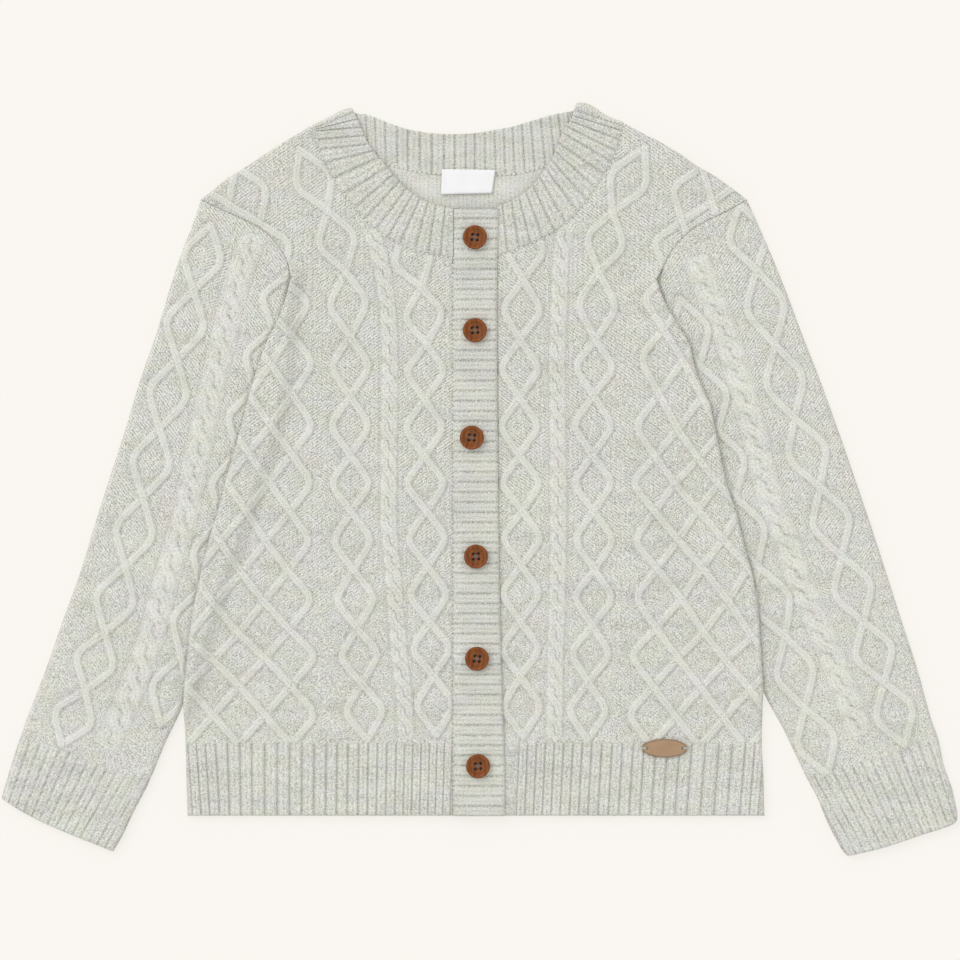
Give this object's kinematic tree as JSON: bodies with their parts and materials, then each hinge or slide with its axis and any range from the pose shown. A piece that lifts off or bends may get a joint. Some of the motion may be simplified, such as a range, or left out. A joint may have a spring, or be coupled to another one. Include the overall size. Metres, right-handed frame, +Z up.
{
  "type": "baby cardigan",
  "caption": "Baby cardigan in pale heathered aran knit with diamond and rope cables, rib neckband, cuffs and hem, lying flat and buttoned up the front.",
  "frame": {"origin": "centre of the bounding box, on the surface the cardigan lies on", "axes": "+X to the wearer's left across the sleeves, +Y towards the neck, +Z up from the surface, out of the front of the cardigan"},
  "size_m": [0.4642, 0.3632, 0.0093],
  "materials": {
    "knit": "matt heathered knit",
    "rib": "matt heathered rib knit",
    "button_wood": "satin brown wood",
    "label_cloth": "white woven label, plain",
    "tag_leather": "smooth tan, plain"
  },
  "bodies": {
    "root": {"back": "knit", "front_right": "knit", "front_left": "knit", "sleeve_right": "knit", "sleeve_left": "knit", "neckband": "rib", "placket_top": "rib", "placket_under": "rib", "button_1": "button_wood", "button_2": "button_wood", "button_3": "button_wood", "button_4": "button_wood", "button_5": "button_wood", "button_6": "button_wood", "neck_label": "label_cloth", "hem_tag": "tag_leather"}
  },
  "joints": []
}
